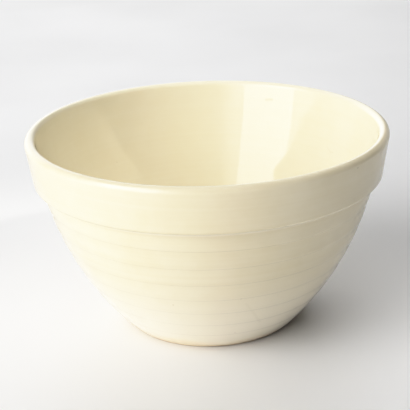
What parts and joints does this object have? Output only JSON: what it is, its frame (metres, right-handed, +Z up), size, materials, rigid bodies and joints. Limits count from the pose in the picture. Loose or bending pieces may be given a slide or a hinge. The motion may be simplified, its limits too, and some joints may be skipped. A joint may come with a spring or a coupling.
{
  "type": "mixing bowl",
  "caption": "Deep round ceramic mixing bowl with a rolled lip, a broad collar, fine turned rings down the wall and a small bare foot ring.",
  "frame": {"origin": "centre of the foot ring, on the surface that the bowl stands on", "axes": "+Z up along the bowl's axis of turning, towards the open mouth; +X and +Y are any two level directions, because the bowl is round"},
  "size_m": [0.26, 0.26, 0.1445],
  "materials": {
    "fired_clay": "bare fired clay, pale peach, matt and slightly sandy",
    "cream_glaze": "clear-toned cream gloss glaze"
  },
  "bodies": {
    "root": {"clay_body": "fired_clay", "inside_glaze": "cream_glaze", "outside_glaze": "cream_glaze", "base_glaze": "cream_glaze"}
  },
  "joints": []
}
